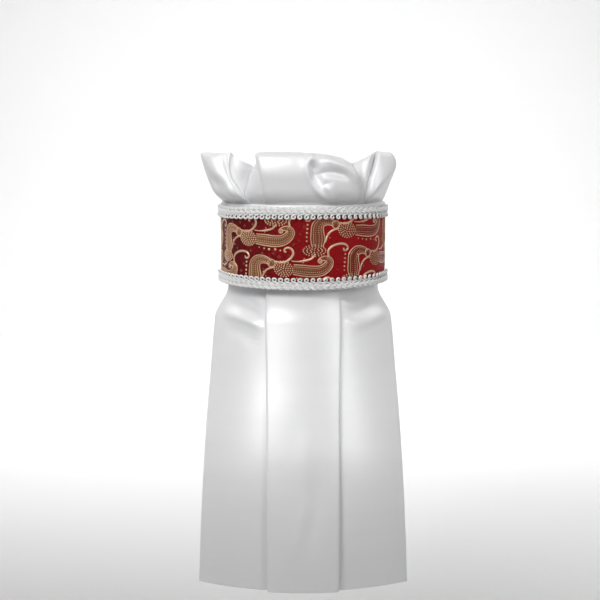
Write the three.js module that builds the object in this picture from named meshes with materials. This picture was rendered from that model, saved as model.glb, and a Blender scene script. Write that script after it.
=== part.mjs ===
// A ready-made stock tie for riding dress, in the form that it takes round a neck.
// A padded satin collar runs right round the neck and closes at the back, where one end laps over the
// other on a patch of hook and loop tape. Its front carries a strip of brocade between two rows of
// looped braid. A pleated satin frill stands up behind the collar, and a pleated bib hangs down from it.
//
// Sizes are in millimetres and +Z is up. The wearer faces -Y, and the origin is the middle of the neck's
// hollow, half way up the collar. A place near the neck is given as "along", the length round the neck
// from the middle of the front, positive towards +X, "out", the distance out from the neck, and height.
import * as THREE from "three";

const { lerp, clamp, smoothstep, degToRad } = THREE.MathUtils;

const NECK = { halfWidth: 54.5, halfDepth: 51.5 };
const GAP = 0.3;

const COLLAR = {
  top: 30,
  bottom: -30.6,
  backHalfHeight: 22,
  innerEnd: -184,
  outerEnd: 196,
  lapStart: 120,
  lapFull: 145,
};
const TAPE = { from: 156, to: 190, halfHeight: 17, thickness: 1.6 };
const BROCADE = { reach: 78, halfHeight: 27.5, thickness: 1 };
const BRAID = { reach: 81.5, height: 9, thickness: 1.8, edge: 0.7, upperTop: 28.7, lowerBottom: -29.2 };
const FRILL = { tuckHeight: 20, edgeHeight: 31, spillHeight: 34.5, spillDrift: 0.25, thickness: 1 };
const BIB = {
  tuckHeight: -20,
  edgeHeight: -31.5,
  spillDrop: 12,
  gatherEnd: -60,
  hem: -239,
  thickness: 1,
  rise: 0.9,
};

// How many flat steps each piece takes along its length.
const STEPS = { collar: 96, tape: 8, brocade: 48, braid: 48, frillFold: 3, bibHang: 9 };

// How far out the collar's inner face stands, to leave room for the folded cloth behind it.
const ROOM_BEHIND_COLLAR = [
  { along: 0, size: 4.3 },
  { along: 48, size: 4.3 },
  { along: 70, size: 1.6 },
  { along: 114, size: 1.6 },
  { along: 130, size: 0.4 },
  { along: 200, size: 0.4 },
];

// The collar's padding is pressed flat under the brocade and swells past its ends.
const COLLAR_THICKNESS = [
  { along: 0, size: 3 },
  { along: 79, size: 3 },
  { along: 84, size: 5 },
  { along: 96, size: 4.6 },
  { along: 130, size: 2.2 },
  { along: 200, size: 2.2 },
];

// The frill's folds from one free edge to the other, each as a place at its root, belly and top. The
// spill is the share of the belly's reach that the cloth already has just above the collar.
const FRILL_FOLDS = [
  { fold: "left hem", root: [-112, 0.8], spill: 0.4, belly: [-112, 8, 45], top: [-113, 13, 60] },
  { fold: "left back", root: [-98, 0.8], spill: 0.45, belly: [-98, 12, 46], top: [-98, 18, 63] },
  { fold: "left turn", root: [-83, 0.8], spill: 0.5, belly: [-82, 14.5, 47], top: [-81, 19.5, 65] },
  { fold: "left panel", root: [-64, 0.9], spill: 0.45, belly: [-66, 12, 47.5], top: [-64, 18, 66] },
  { fold: "left crest", root: [-42, 2.6], spill: 0.3, belly: [-49, 12, 48], top: [-47, 17, 65.5] },
  { fold: "left fold", root: [-38.3, 2.8], spill: 0.25, belly: [-45.5, 12, 48], top: [-43.5, 16, 66.8] },
  { fold: "left face", root: [-36.8, 2.2], spill: 0.2, belly: [-43, 6, 46.7], top: [-39.5, 9, 60.8] },
  { fold: "left hollow", root: [-35.2, 1], spill: 0.2, belly: [-38.3, 1.5, 43], top: [-35.8, 2, 55.2] },
  { fold: "centre left fold", root: [-27.3, 2.6], spill: 0.2, belly: [-27.8, 8, 47], top: [-30, 9, 62.4] },
  { fold: "centre left", root: [-22.5, 3.1], spill: 0.2, belly: [-21.3, 10, 47.3], top: [-25.3, 5, 66.2] },
  { fold: "centre", root: [0, 3.2], spill: 0.2, belly: [0, 11.5, 47.5], top: [-2, 4, 66] },
  { fold: "centre right", root: [28, 3.1], spill: 0.2, belly: [22, 10.5, 47.3], top: [21, 5, 62.4] },
  { fold: "centre right fold", root: [41.5, 2.8], spill: 0.2, belly: [34, 9.3, 47], top: [30, 8, 59.6] },
  { fold: "right hollow", root: [44.6, 1], spill: 0.2, belly: [39.5, 2, 45.2], top: [36.2, 2, 57.3] },
  { fold: "right fold", root: [48, 2.3], spill: 0.2, belly: [42.8, 8, 48.1], top: [45.2, 12, 65.7] },
  { fold: "right pocket", root: [51.8, 1.5], spill: 0.2, belly: [47.5, 6, 48], top: [50.5, 9.5, 65.5] },
  { fold: "right crest", root: [57, 1.8], spill: 0.35, belly: [52.5, 12, 48], top: [56.5, 13, 65.5] },
  { fold: "right panel", root: [70, 0.8], spill: 0.5, belly: [67, 11.5, 47.5], top: [69, 13, 64.5] },
  { fold: "right turn", root: [83, 0.8], spill: 0.55, belly: [81, 11, 46], top: [83, 12, 61.5] },
  { fold: "right back", root: [98, 0.8], spill: 0.45, belly: [98, 9, 45.5], top: [98, 11, 60] },
  { fold: "right hem", root: [112, 0.8], spill: 0.4, belly: [112, 7, 45], top: [113, 10, 58] },
];

// Hollows pressed into the frill's centre panel: a place, the hollow's half sizes, its slant and depth.
const FRILL_DENTS = [
  { dent: "upper hollow", along: 8, height: 56, reach: 6, rise: 6, slant: 35, depth: 3.2 },
  { dent: "lower hollow", along: 17, height: 45, reach: 7, rise: 11, slant: 30, depth: 3.4 },
];

// The bib from the collar's lower edge to its hem: how far it hangs forward of the neck's axis, its half
// width and its centre panel's, how far its sides fall back, and the spacing of its folded layers.
const BIB_DROP = [
  { height: -31.5, forward: 53, halfWidth: 60, panel: 26.5, fallBack: 42, layers: 1.3 },
  { height: -44, forward: 57, halfWidth: 62.5, panel: 26, fallBack: 39, layers: 1.6 },
  { height: -60, forward: 61, halfWidth: 64, panel: 25.5, fallBack: 34, layers: 1.8 },
  { height: -90, forward: 70, halfWidth: 66, panel: 24.7, fallBack: 29, layers: 1.9 },
  { height: -120, forward: 79.5, halfWidth: 68, panel: 24.2, fallBack: 26, layers: 1.9 },
  { height: -150, forward: 87, halfWidth: 69.5, panel: 24, fallBack: 24, layers: 1.9 },
  { height: -180, forward: 91.5, halfWidth: 71, panel: 24, fallBack: 23, layers: 1.9 },
  { height: -210, forward: 93.5, halfWidth: 72.5, panel: 24, fallBack: 22, layers: 1.9 },
  { height: -239, forward: 93.5, halfWidth: 74, panel: 24, fallBack: 22, layers: 1.9 },
];
const BIB_CLOTH = { panel: 25, half: 78 };

const BIB_RISE = [...BIB_DROP].reverse();

// Half of the bib's box pleat, from its middle out to the free edge: the length along the cloth's front
// where each crease lies, and which layer it is in. Layer 2 is the centre panel and 0 the side panel.
const BIB_CREASES = [
  { along: 0, layer: 2 },
  { along: 9, layer: 2 },
  { along: 18, layer: 2 },
  { along: 23, layer: 2 },
  { along: 24.4, layer: 1.85 },
  { along: 25, layer: 1.5 },
  { along: 24.4, layer: 1.15 },
  { along: 23, layer: 1 },
  { along: 18, layer: 1 },
  { along: 13.5, layer: 1 },
  { along: 12.1, layer: 0.85 },
  { along: 11.5, layer: 0.5 },
  { along: 12.1, layer: 0.15 },
  { along: 13.5, layer: 0 },
  { along: 20, layer: 0 },
  { along: 27, layer: 0 },
  { along: 35, layer: 0 },
  { along: 44, layer: 0 },
  { along: 53, layer: 0 },
  { along: 62, layer: 0 },
  { along: 70, layer: 0 },
  { along: 78, layer: 0 },
];

// Puffs of the side panels just under the collar, where the cloth is gathered into it.
const BIB_PUFFS = [
  { puff: "left", along: -52, height: -41, reach: 17, rise: 6.5, slant: -18, depth: 5 },
  { puff: "left lower", along: -45, height: -61, reach: 20, rise: 5, slant: -12, depth: 1.6 },
  { puff: "right", along: 56, height: -42, reach: 17, rise: 7, slant: 22, depth: 6 },
  { puff: "right lower", along: 45, height: -58, reach: 20, rise: 7, slant: 4, depth: 2 },
];

const SATIN = { color: 0xf4f4f6, roughness: 0.35, metalness: 0 };
const COLOURS = {
  satin: SATIN,
  brocade: { color: 0x9c1428, roughness: 0.55, metalness: 0 },
  braid: { color: 0xf1f1ef, roughness: 0.6, metalness: 0 },
  tape: { color: 0xe9e9e7, roughness: 0.9, metalness: 0 },
};

// The length round the neck from the middle of the front, at equal steps of a half turn.
const HALF_TURN_STEPS = 360;
const lengthAtStep = [0];
for (let step = 1; step <= HALF_TURN_STEPS; step++) {
  const middle = ((step - 0.5) / HALF_TURN_STEPS) * Math.PI;
  const rate = Math.hypot(NECK.halfWidth * Math.cos(middle), NECK.halfDepth * Math.sin(middle));
  lengthAtStep.push(lengthAtStep[step - 1] + (rate * Math.PI) / HALF_TURN_STEPS);
}
const HALF_ROUND = lengthAtStep[HALF_TURN_STEPS];

function turnAt(along) {
  const turns = Math.floor((along + HALF_ROUND) / (2 * HALF_ROUND));
  const rest = along - turns * 2 * HALF_ROUND;
  const size = Math.min(Math.abs(rest), HALF_ROUND);
  let step = 1;
  while (step < HALF_TURN_STEPS && lengthAtStep[step] < size) step++;
  const part = (size - lengthAtStep[step - 1]) / (lengthAtStep[step] - lengthAtStep[step - 1]);
  return Math.sign(rest) * ((step - 1 + part) / HALF_TURN_STEPS) * Math.PI;
}

function nearNeck(along, out, height) {
  const turn = turnAt(along);
  const side = new THREE.Vector2(Math.sin(turn) / NECK.halfWidth, -Math.cos(turn) / NECK.halfDepth);
  side.normalize();
  return new THREE.Vector3(
    NECK.halfWidth * Math.sin(turn) + out * side.x,
    -NECK.halfDepth * Math.cos(turn) + out * side.y,
    height,
  );
}

// A smooth curve through values at uneven places, with the slope at each from its neighbours.
function curveThrough(places, values, at) {
  const last = places.length - 1;
  let i = 0;
  while (i < last - 1 && at > places[i + 1]) i++;
  const slope = (k) => {
    const a = Math.max(k - 1, 0);
    const b = Math.min(k + 1, last);
    return (values[b] - values[a]) / (places[b] - places[a]);
  };
  const span = places[i + 1] - places[i];
  const t = clamp((at - places[i]) / span, 0, 1);
  const t2 = t * t;
  const t3 = t2 * t;
  return (
    (2 * t3 - 3 * t2 + 1) * values[i] +
    (t3 - 2 * t2 + t) * span * slope(i) +
    (3 * t2 - 2 * t3) * values[i + 1] +
    (t3 - t2) * span * slope(i + 1)
  );
}

function column(table, key, from, at) {
  return curveThrough(table.map((row) => row[from]), table.map((row) => row[key]), at);
}

// The size in a table's row, eased from one place to the next, and the same at both sides of the neck.
function eased(table, along) {
  const reach = Math.abs(along);
  const i = table.findIndex((row, k) => k > 0 && reach <= row.along);
  const from = table[i - 1];
  const to = table[i];
  return lerp(from.size, to.size, smoothstep(reach, from.along, to.along));
}

// A soft bump of the given half sizes, turned by its slant in degrees.
function bump({ along, height, reach, rise, slant, depth }, atAlong, atHeight) {
  const turn = degToRad(slant);
  const x = atAlong - along;
  const z = atHeight - height;
  const across = (x * Math.cos(turn) + z * Math.sin(turn)) / reach;
  const up = (z * Math.cos(turn) - x * Math.sin(turn)) / rise;
  return depth * Math.exp(-across * across - up * up);
}

function steps(from, to, count) {
  return Array.from({ length: count + 1 }, (_, i) => lerp(from, to, i / count));
}

// A closed wall between an inner and an outer grid of points, which have the same columns and rows.
function closedWall(outer, inner) {
  const columns = outer.length;
  const rows = outer[0].length;
  const points = [outer, inner].flat(2);
  const positions = points.flatMap((point) => point.toArray());
  const index = (side, c, r) => (side * columns + c) * rows + r;
  const faces = [];
  const quad = (a, b, c, d) => faces.push(a, b, c, a, c, d);
  for (let c = 0; c + 1 < columns; c++) {
    for (let r = 0; r + 1 < rows; r++) {
      quad(index(0, c, r), index(0, c + 1, r), index(0, c + 1, r + 1), index(0, c, r + 1));
      quad(index(1, c, r), index(1, c, r + 1), index(1, c + 1, r + 1), index(1, c + 1, r));
    }
    quad(index(1, c, 0), index(1, c + 1, 0), index(0, c + 1, 0), index(0, c, 0));
    quad(index(0, c, rows - 1), index(0, c + 1, rows - 1), index(1, c + 1, rows - 1), index(1, c, rows - 1));
  }
  for (let r = 0; r + 1 < rows; r++) {
    quad(index(0, 0, r), index(0, 0, r + 1), index(1, 0, r + 1), index(1, 0, r));
    const end = columns - 1;
    quad(index(1, end, r), index(1, end, r + 1), index(0, end, r + 1), index(0, end, r));
  }
  const geometry = new THREE.BufferGeometry();
  geometry.setAttribute("position", new THREE.Float32BufferAttribute(positions, 3));
  geometry.setIndex(faces);
  geometry.computeVertexNormals();
  return geometry;
}

// A wall of even cloth, half its thickness to each side of a middle surface.
function clothWall(middle, thickness) {
  const last = [middle.length - 1, middle[0].length - 1];
  const offset = (amount) =>
    middle.map((line, c) =>
      line.map((point, r) => {
        const before = middle[Math.max(c - 1, 0)][r];
        const after = middle[Math.min(c + 1, last[0])][r];
        const below = line[Math.max(r - 1, 0)];
        const above = line[Math.min(r + 1, last[1])];
        const across = new THREE.Vector3().subVectors(after, before);
        const up = new THREE.Vector3().subVectors(above, below);
        return point.clone().addScaledVector(across.cross(up).normalize(), amount);
      }),
    );
  return closedWall(offset(thickness / 2), offset(-thickness / 2));
}

// A strip that lies round the neck. Its faces are given as distances out, over a height that may change.
function neckStrip(alongs, heightParts, heightAt, innerAt, outerAt) {
  const face = (outAt) =>
    alongs.map((along) =>
      heightParts.map((part) => nearNeck(along, outAt(along, part), heightAt(along, part))),
    );
  return closedWall(face(outerAt), face(innerAt));
}

function mesh(name, geometry, look) {
  const made = new THREE.Mesh(geometry, new THREE.MeshStandardMaterial(COLOURS[look]));
  made.name = name;
  return made;
}

// The collar's free end at one side lies flat on the neck, and the other steps out to lap over it.
function collarInner(along) {
  const lapStep = eased(COLLAR_THICKNESS, HALF_ROUND) + TAPE.thickness + 2 * GAP;
  return eased(ROOM_BEHIND_COLLAR, along) + lapStep * smoothstep(along, COLLAR.lapStart, COLLAR.lapFull);
}

// Rows up a strip's height, with how much of its thickness is left there, so that its edges are rounded.
const ROUNDED_ROWS = [
  { part: 0, full: 0.4 },
  { part: 0.04, full: 1 },
  { part: 0.96, full: 1 },
  { part: 1, full: 0.4 },
];
const roundedParts = ROUNDED_ROWS.map((row) => row.part);

function rounding(part) {
  return ROUNDED_ROWS.find((row) => row.part === part).full;
}

function collar() {
  const heightAt = (along, part) => {
    const narrowing = smoothstep(Math.abs(along), 88, 150);
    const top = lerp(COLLAR.top, COLLAR.backHalfHeight, narrowing);
    const bottom = lerp(COLLAR.bottom, -COLLAR.backHalfHeight, narrowing);
    return lerp(bottom, top, part);
  };
  const outerAt = (along, part) => collarInner(along) + eased(COLLAR_THICKNESS, along) * rounding(part);
  const alongs = steps(COLLAR.innerEnd, COLLAR.outerEnd, STEPS.collar);
  return neckStrip(alongs, roundedParts, heightAt, collarInner, outerAt);
}

function tapePatch() {
  const inner = eased(ROOM_BEHIND_COLLAR, HALF_ROUND) + eased(COLLAR_THICKNESS, HALF_ROUND) + GAP;
  const heightAt = (along, part) => lerp(-TAPE.halfHeight, TAPE.halfHeight, part);
  return neckStrip(
    steps(TAPE.from, TAPE.to, STEPS.tape),
    [0, 1],
    heightAt,
    () => inner,
    () => inner + TAPE.thickness,
  );
}

function onCollar(along) {
  return eased(ROOM_BEHIND_COLLAR, along) + eased(COLLAR_THICKNESS, 0) + GAP;
}

function brocadeStrip() {
  const heightAt = (along, part) => lerp(-BROCADE.halfHeight, BROCADE.halfHeight, part);
  return neckStrip(
    steps(-BROCADE.reach, BROCADE.reach, STEPS.brocade),
    [0, 1],
    heightAt,
    onCollar,
    (along) => onCollar(along) + BROCADE.thickness,
  );
}

const BRAID_ROWS = [0, 0.15, 0.85, 1];

function braidRow(bottom) {
  const inner = (along) => onCollar(along) + BROCADE.thickness + GAP;
  const heightAt = (along, part) => bottom + part * BRAID.height;
  const isEdge = (part) => part === 0 || part === 1;
  const outerAt = (along, part) => inner(along) + (isEdge(part) ? BRAID.edge : BRAID.thickness);
  return neckStrip(steps(-BRAID.reach, BRAID.reach, STEPS.braid), BRAID_ROWS, heightAt, inner, outerAt);
}

// The levels up one fold of the frill: tucked in, at the collar's edge, spilling over it, belly and top.
const FRILL_LEVELS = [0, 1, 2, 3, 4];
const frillRows = FRILL_FOLDS.map(({ root, spill, belly, top }) => ({
  along: [root[0], root[0], lerp(root[0], belly[0], FRILL.spillDrift), belly[0], top[0]],
  out: [root[1], root[1], lerp(root[1], belly[1], spill), belly[1], top[1]],
  height: [FRILL.tuckHeight, FRILL.edgeHeight, FRILL.spillHeight, belly[2], top[2]],
}));

function frillPlace(foldAt, level) {
  const order = FRILL_FOLDS.map((_, i) => i);
  const read = (key) =>
    curveThrough(order, frillRows.map((row) => curveThrough(FRILL_LEVELS, row[key], level)), foldAt);
  const along = read("along");
  const height = read("height");
  const dents = FRILL_DENTS.reduce((sum, dent) => sum + bump(dent, along, height), 0);
  return nearNeck(along, read("out") - dents * smoothstep(level, 1, 2), height);
}

function frill() {
  const lastFold = FRILL_FOLDS.length - 1;
  const foldSteps = steps(0, lastFold, lastFold * STEPS.frillFold);
  const levels = [0, 1, 1.5, 2, 2.4, 2.8, 3.2, 3.6, 4];
  const middle = foldSteps.map((at) => levels.map((level) => frillPlace(at, level)));
  return clothWall(middle, FRILL.thickness);
}

// The bib's middle surface. It leaves the neck's round at the collar's edge and spreads over the chest.
function bibPlace(along, layer, height) {
  const read = (key) => column(BIB_RISE, key, "height", height);
  const standing = BIB.rise + read("layers") * layer;
  const tucked = nearNeck(along, standing, height);
  if (height >= BIB.edgeHeight) return tucked;
  const halfWidth = read("halfWidth");
  const fallBack = read("fallBack");
  const radius = (halfWidth ** 2 + fallBack ** 2) / (2 * fallBack);
  const panel = read("panel");
  const side = (radius * Math.asin(halfWidth / radius) - panel) / (BIB_CLOTH.half - BIB_CLOTH.panel);
  const onPanel = Math.min(Math.abs(along), BIB_CLOTH.panel);
  const past = Math.abs(along) - onPanel;
  const reach = (onPanel * panel) / BIB_CLOTH.panel + past * side;
  const turn = (Math.sign(along) * reach) / radius;
  const puff = BIB_PUFFS.reduce((sum, row) => sum + bump(row, along, height), 0);
  const out = standing + puff * clamp(1 - layer, 0, 1);
  const hanging = new THREE.Vector3(
    (radius + out) * Math.sin(turn),
    radius - read("forward") - (radius + out) * Math.cos(turn),
    height,
  );
  return tucked.lerp(hanging, smoothstep(BIB.edgeHeight - height, 0, BIB.spillDrop));
}

function bib() {
  const rightHalf = BIB_CREASES.slice(1);
  const leftHalf = rightHalf.map((row) => ({ ...row, along: -row.along })).reverse();
  const creases = [...leftHalf, BIB_CREASES[0], ...rightHalf];
  const gathered = [-54, -48, -43, -39, -35];
  const hanging = steps(BIB.hem, BIB.gatherEnd, STEPS.bibHang);
  const heights = [...hanging, ...gathered, BIB.edgeHeight, BIB.tuckHeight];
  const middle = creases.map((row) => heights.map((height) => bibPlace(row.along, row.layer, height)));
  return clothWall(middle, BIB.thickness);
}

const stockTie = new THREE.Group();
stockTie.add(
  mesh("collar", collar(), "satin"),
  mesh("hook_and_loop_patch", tapePatch(), "tape"),
  mesh("brocade_strip", brocadeStrip(), "brocade"),
  mesh("upper_braid", braidRow(BRAID.upperTop - BRAID.height), "braid"),
  mesh("lower_braid", braidRow(BRAID.lowerBottom), "braid"),
  mesh("frill", frill(), "satin"),
  mesh("bib", bib(), "satin"),
);
export default stockTie;
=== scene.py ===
"""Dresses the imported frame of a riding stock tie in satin, brocade and looped braid."""

import math
from collections import namedtuple

import bmesh
import bpy
import numpy as np
from bpy.props import FloatProperty, FloatVectorProperty, IntProperty, PointerProperty
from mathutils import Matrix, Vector


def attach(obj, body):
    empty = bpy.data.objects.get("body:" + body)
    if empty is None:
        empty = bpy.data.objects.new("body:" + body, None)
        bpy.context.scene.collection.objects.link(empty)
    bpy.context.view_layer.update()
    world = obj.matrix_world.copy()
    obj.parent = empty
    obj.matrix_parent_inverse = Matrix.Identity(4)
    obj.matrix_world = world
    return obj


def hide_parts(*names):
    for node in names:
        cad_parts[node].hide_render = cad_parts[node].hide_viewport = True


bl_info = {
    "name": "Stock Tie",
    "version": (1, 0, 0),
    "blender": (4, 5, 0),
    "location": "View3D > Sidebar > Stock Tie",
    "description": "Makes a pleated satin stock tie with a brocade front and looped braid",
    "category": "Object",
}

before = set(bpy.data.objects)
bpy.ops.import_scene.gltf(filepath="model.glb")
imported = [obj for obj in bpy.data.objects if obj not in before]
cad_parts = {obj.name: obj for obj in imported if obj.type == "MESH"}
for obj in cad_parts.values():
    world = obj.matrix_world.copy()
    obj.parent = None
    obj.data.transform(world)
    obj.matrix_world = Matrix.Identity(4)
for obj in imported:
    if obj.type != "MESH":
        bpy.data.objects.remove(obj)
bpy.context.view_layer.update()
MM = 0.001
TINY = 1e-12


# Sizes and colours


def length_property(name, description, default):
    return FloatProperty(name=name, description=description, default=default, unit="LENGTH")


def count_property(name, description, default, least):
    return IntProperty(name=name, description=description, default=default, min=least)


def colour(name, description, default):
    return FloatVectorProperty(
        name=name, description=description, default=default, subtype="COLOR", size=3, min=0, max=1
    )


class StockTieSizes(bpy.types.PropertyGroup):
    """The sizes that the tie is cut to."""

    neck_half_width: length_property("Neck Half Width", "Half of the neck from side to side", 0.0545)
    neck_half_depth: length_property("Neck Half Depth", "Half of the neck from front to back", 0.0515)
    satin_thickness: length_property("Satin Thickness", "Two layers of satin", 0.0007)
    cord_width: length_property("Braid Cord", "Thickness of one cord of the braid's loops", 0.0013)
    loop_pitch: length_property("Loop Pitch", "From one loop of the braid to the next", 0.0045)
    pattern_relief: length_property("Pattern Relief", "How far the gold weave stands up", 0.00025)
    frill_rows: count_property("Frill Rows", "Rows of faces up the frill", 64, 16)
    bib_rows: count_property("Bib Rows", "Rows of faces down the bib", 150, 40)


class StockTieColours(bpy.types.PropertyGroup):
    """The colours that the tie is made in."""

    satin: colour("Satin", "White satin of the collar, frill and bib", (0.93, 0.93, 0.94))
    braid: colour("Braid", "Cord of the braid", (0.93, 0.93, 0.92))
    tape: colour("Tape", "Hook and loop tape", (0.78, 0.78, 0.77))
    crimson: colour("Crimson", "Ground of the brocade", (0.34, 0.004, 0.008))
    # Maroon is painted shade towards the brocade's left end, and also the colour of darker flecks at random.
    shade_and_fleck_maroon: colour("Maroon", "Shaded thread of the brocade's ground", (0.11, 0.002, 0.004))
    gold: colour("Gold", "Filling of the paisleys", (0.32, 0.13, 0.055))
    pale_gold: colour("Pale Gold", "Outlines and beads of the paisleys", (0.78, 0.52, 0.34))


def sizes():
    return bpy.context.scene.stock_tie_sizes


def colours():
    return bpy.context.scene.stock_tie_colours


# Shapes round the neck, in millimetres: along the neck from the middle of the front, out from it, and up

NECK_STEPS = 2001
ROUTE_STEPS = 12
FADE_START = -0.02


def running(steps):
    """The length from the start to each place, from the steps between them."""
    return np.concatenate([[0], np.cumsum(steps)])


def spaced(knots, counts):
    """Places from the first knot to the last, with a count of even steps between each two."""
    parts = [np.linspace(*ends, count, endpoint=False) for *ends, count in zip(knots, knots[1:], counts)]
    return np.concatenate([*parts, knots[-1:]])


def unit(vectors):
    return vectors / np.maximum(np.linalg.norm(vectors, axis=-1, keepdims=True), TINY)


def neck_halves():
    return sizes().neck_half_width / MM, sizes().neck_half_depth / MM


def neck_table():
    """Turns about the neck's axis at even steps, and the length round the neck to each."""
    turns = np.linspace(0, math.pi, NECK_STEPS)
    middles = (turns[1:] + turns[:-1]) / 2
    half_width, half_depth = neck_halves()
    rates = np.hypot(half_width * np.cos(middles), half_depth * np.sin(middles))
    return turns, running(rates * np.diff(turns))


def half_round():
    return neck_table()[1][-1]


def on_neck(along, out, height):
    """Points in metres for lengths along, out and up in millimetres."""
    along, out, height = np.broadcast_arrays(*(np.asarray(v, float) for v in (along, out, height)))
    turns, lengths = neck_table()
    half = lengths[-1]
    rest = (along + half) % (2 * half) - half
    turn = np.sign(rest) * np.interp(np.abs(rest), lengths, turns)
    half_width, half_depth = neck_halves()
    away = unit(np.stack([np.sin(turn) / half_width, -np.cos(turn) / half_depth], axis=-1))
    x = half_width * np.sin(turn) + out * away[..., 0]
    y = -half_depth * np.cos(turn) + out * away[..., 1]
    return MM * np.stack([x, y, height], axis=-1)


def smooth(value, low, high):
    part = np.clip((np.asarray(value, float) - low) / (high - low), 0, 1)
    return part * part * (3 - 2 * part)


def eased(table, along):
    """The size in a table of (along, size) rows, eased from one place to the next, alike at both sides."""
    reach = np.abs(np.asarray(along, float))
    result = np.full(reach.shape, float(table[0][1]))
    for (start, before), (end, after) in zip(table, table[1:]):
        result = result + (after - before) * smooth(reach, start, end)
    return result


def curve_through(places, values, at):
    """A smooth curve through rows of values at uneven places, read at other places."""
    places = np.asarray(places, float)
    values = np.asarray(values, float)
    slopes = np.empty_like(values)
    slopes[1:-1] = (values[2:] - values[:-2]) / (places[2:] - places[:-2])[:, None]
    slopes[0] = (values[1] - values[0]) / (places[1] - places[0])
    slopes[-1] = (values[-1] - values[-2]) / (places[-1] - places[-2])
    i = np.clip(np.searchsorted(places, at, side="right") - 1, 0, len(places) - 2)
    span = (places[i + 1] - places[i])[:, None]
    t = (np.asarray(at, float)[:, None] - places[i][:, None]) / span
    return (
        (2 * t**3 - 3 * t**2 + 1) * values[i]
        + (t**3 - 2 * t**2 + t) * span * slopes[i]
        + (3 * t**2 - 2 * t**3) * values[i + 1]
        + (t**3 - t**2) * span * slopes[i + 1]
    )


def pressed(lines, along, height):
    """How far ridges and hollows along given lines move a cloth out, at each of its points."""
    total = np.zeros_like(along)
    for line in lines:
        route = np.asarray(line.route, float)
        knots = len(route)
        path = curve_through(np.arange(knots), route, np.linspace(0, knots - 1, ROUTE_STEPS * knots))
        gap = np.full(along.shape, np.inf)
        part = np.zeros(along.shape)
        for k, (place, level) in enumerate(path):
            distance = np.hypot(along - place, height - level)
            nearer = distance < gap
            gap = np.where(nearer, distance, gap)
            part = np.where(nearer, k / (len(path) - 1), part)
        fade = smooth(part, FADE_START, line.fade) * smooth(1 - part, FADE_START, line.fade)
        total += line.rise * fade * np.exp(-((gap / line.reach) ** 2))
    return total


# Meshes

# Share of a cloth's thickness in its last rows, from the edge inwards, so that its edges are rounded.
EDGE_SHARES = (0.3, 0.8)
CLOTH_MAP = "cloth"
MAP_UNIT = 100
CORD_RING = 8
CORD_ANGLE = 80


def quads(*corners):
    return np.stack(corners, axis=-1).reshape(-1, 4)


def wall_faces(columns, rows):
    """Faces of a closed wall whose points are an outer grid followed by an inner one."""
    outer, inner = np.arange(2 * columns * rows).reshape(2, columns, rows)
    faces = [
        quads(outer[:-1, :-1], outer[1:, :-1], outer[1:, 1:], outer[:-1, 1:]),
        quads(inner[:-1, :-1], inner[:-1, 1:], inner[1:, 1:], inner[1:, :-1]),
        quads(inner[:-1, 0], inner[1:, 0], outer[1:, 0], outer[:-1, 0]),
        quads(outer[:-1, -1], outer[1:, -1], inner[1:, -1], inner[:-1, -1]),
        quads(outer[0, :-1], outer[0, 1:], inner[0, 1:], inner[0, :-1]),
        quads(inner[-1, :-1], inner[-1, 1:], outer[-1, 1:], outer[-1, :-1]),
    ]
    return np.concatenate(faces).tolist()


def grid_normals(middle):
    return unit(np.cross(np.gradient(middle, axis=0), np.gradient(middle, axis=1)))


def edge_thinning(columns, rows):
    thin = np.ones((columns, rows))
    for k, share in enumerate(EDGE_SHARES):
        thin[:, -1 - k] = share
        for line in (thin[k, :], thin[-1 - k, :], thin[:, k]):
            np.minimum(line, share, out=line)
    return thin


def add_object(name, data):
    thing = bpy.data.objects.new(name, data)
    bpy.context.scene.collection.objects.link(thing)
    return thing


def smooth_piece(name, mesh, angle=60):
    """Adds a mesh as a piece, shaded smooth except across edges sharper than an angle in degrees."""
    piece = add_object(name, mesh)
    bpy.ops.object.select_all(action="DESELECT")
    piece.select_set(True)
    bpy.context.view_layer.objects.active = piece
    bpy.ops.object.shade_smooth_by_angle(angle=math.radians(angle))
    return piece


def make_mesh(name, points, faces, angle=60):
    mesh = bpy.data.meshes.new(name)
    mesh.from_pydata([tuple(p) for p in points], [], faces)
    mesh.validate()
    return smooth_piece(name, mesh, angle)


def add_cloth_map(piece, places):
    """A UV map in units of 100 mm along the cloth, from (along, up) in millimetres at each point."""
    layer = piece.data.uv_layers.new(name=CLOTH_MAP)
    corners = np.array([loop.vertex_index for loop in piece.data.loops])
    layer.data.foreach_set("uv", (np.asarray(places)[corners] / MAP_UNIT).ravel())


def wall_piece(name, outer, inner, places):
    """A closed wall between two grids of points, with its place on the cloth at each of them."""
    points = np.concatenate([outer.reshape(-1, 3), inner.reshape(-1, 3)])
    piece = make_mesh(name, points, wall_faces(*outer.shape[:2]))
    flat = places.reshape(-1, 2)
    add_cloth_map(piece, np.concatenate([flat, flat]))
    return piece


def satin_wall(name, middle, places):
    """Satin on both sides of a middle grid, with its edges rounded."""
    half = edge_thinning(*middle.shape[:2]) * sizes().satin_thickness / 2
    offset = grid_normals(middle) * half[..., None]
    return wall_piece(name, middle + offset, middle - offset, places)


def lengths_along(line):
    """The length in millimetres along a line of points to each of them, as a column."""
    return running(np.linalg.norm(np.diff(line, axis=0), axis=1))[:, None] / MM


def neck_wall(name, alongs, heights, inner, outer):
    """A closed wall round the neck between two distances out, given on a grid of alongs and heights."""
    outside, inside = (on_neck(alongs, out, heights) for out in (outer, inner))
    return wall_piece(name, outside, inside, np.stack(np.broadcast_arrays(alongs, heights), axis=-1))


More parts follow.
